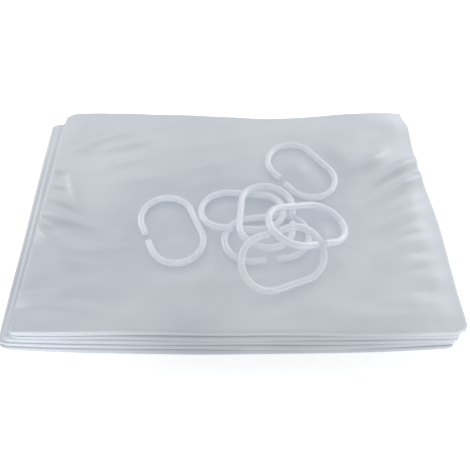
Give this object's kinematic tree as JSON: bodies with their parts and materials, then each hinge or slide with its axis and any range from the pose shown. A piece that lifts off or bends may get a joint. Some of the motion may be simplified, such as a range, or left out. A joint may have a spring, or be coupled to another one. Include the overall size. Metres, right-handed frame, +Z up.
{
  "type": "shower curtain",
  "caption": "Frosted clear film shower curtain folded flat into a pack, with loose C-shaped oval hanging rings lying on its top leaf.",
  "frame": {"origin": "middle of the pack's footprint, on the surface that it lies on", "axes": "+X along the folds, +Y from the front folds to the free edges at the back, +Z up through the leaves"},
  "size_m": [0.3004, 0.203, 0.0483],
  "materials": {
    "film": "satin, soft frosted translucent film",
    "header_film": "satin, two films welded together",
    "eyelet_plastic": "plain moulded",
    "ring_plastic": "milky translucent, moulded, satin"
  },
  "bodies": {
    "pack": {"film_pack": "film", "header_band": "header_film", "eyelet_1": "eyelet_plastic", "eyelet_2": "eyelet_plastic", "eyelet_3": "eyelet_plastic", "eyelet_4": "eyelet_plastic", "eyelet_5": "eyelet_plastic", "eyelet_6": "eyelet_plastic", "eyelet_7": "eyelet_plastic", "eyelet_8": "eyelet_plastic"},
    "top_leaf": {"film_top_leaf": "film"},
    "ring_1": {"ring_1": "ring_plastic"},
    "ring_2": {"ring_2": "ring_plastic"},
    "ring_3": {"ring_3": "ring_plastic"},
    "ring_4": {"ring_4": "ring_plastic"},
    "ring_5": {"ring_5": "ring_plastic"},
    "ring_6": {"ring_6": "ring_plastic"},
    "ring_7": {"ring_7": "ring_plastic"}
  },
  "joints": [
    {"name": "top_leaf_lift", "type": "hinge", "parent": "pack", "child": "top_leaf", "pos_m": [0, -0.09765, 0.01825], "axis": [1, 0, 0], "range_deg": [0, 25]},
    {"name": "ring_1_lift", "type": "slide", "parent": "top_leaf", "child": "ring_1", "axis": [0, 0, 1], "range_m": [0, 0.15]},
    {"name": "ring_2_lift", "type": "slide", "parent": "top_leaf", "child": "ring_2", "axis": [0, 0, 1], "range_m": [0, 0.15]},
    {"name": "ring_7_lift", "type": "slide", "parent": "top_leaf", "child": "ring_7", "axis": [0, 0, 1], "range_m": [0, 0.15]},
    {"name": "ring_3_lift", "type": "slide", "parent": "ring_7", "child": "ring_3", "axis": [0, 0, 1], "range_m": [0, 0.15]},
    {"name": "ring_4_lift", "type": "slide", "parent": "ring_3", "child": "ring_4", "axis": [0, 0, 1], "range_m": [0, 0.15]},
    {"name": "ring_6_lift", "type": "slide", "parent": "ring_4", "child": "ring_6", "axis": [0, 0, 1], "range_m": [0, 0.15]},
    {"name": "ring_5_lift", "type": "slide", "parent": "ring_6", "child": "ring_5", "axis": [0, 0, 1], "range_m": [0, 0.15]}
  ]
}
